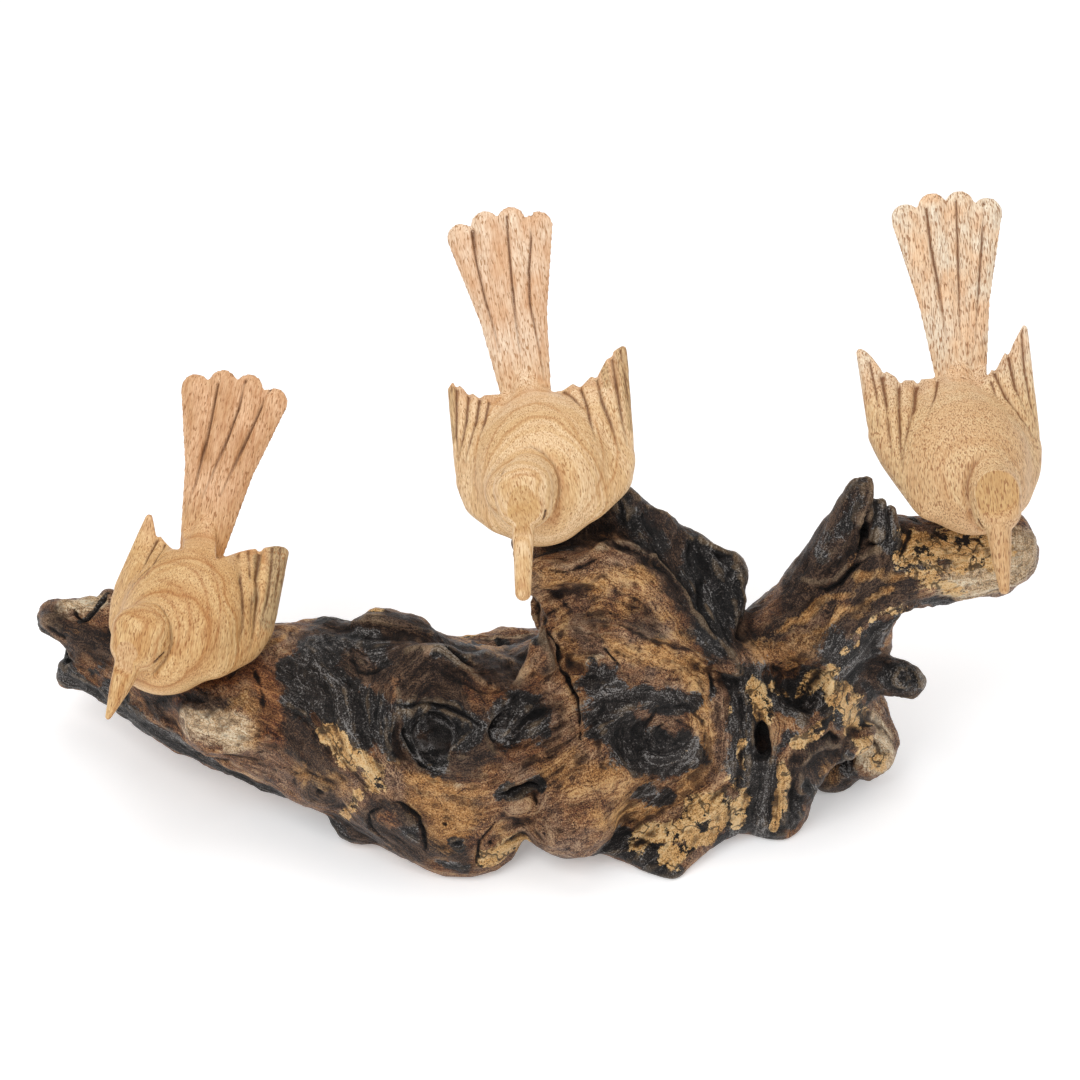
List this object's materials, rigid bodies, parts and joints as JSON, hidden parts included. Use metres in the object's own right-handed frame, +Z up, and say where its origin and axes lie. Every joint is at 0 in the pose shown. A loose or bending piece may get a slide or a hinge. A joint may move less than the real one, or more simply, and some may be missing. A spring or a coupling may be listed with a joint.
{
  "type": "parasite wood bird carving",
  "caption": "Small pale wooden birds with cocked fan tails, perched on a dark gnarled root that stands on its own flattened feet as a table ornament.",
  "frame": {"origin": "middle of the carving's bounding box, on the ground that its feet stand on", "axes": "+Z up, +X to the right and +Y to the back of someone who faces the birds' beaks, so the longest way runs along X"},
  "size_m": [0.4233, 0.1881, 0.2276],
  "materials": {
    "root_wood": "oiled root with charred hollows",
    "golden_bird_wood": "fine sanded, waxed",
    "bird_wood": "fine sanded, waxed",
    "flecked_bird_wood": "fine sanded, waxed"
  },
  "bodies": {
    "root": {"root_base": "root_wood", "bird_left": "golden_bird_wood", "bird_middle": "bird_wood", "bird_right": "flecked_bird_wood"}
  },
  "joints": []
}
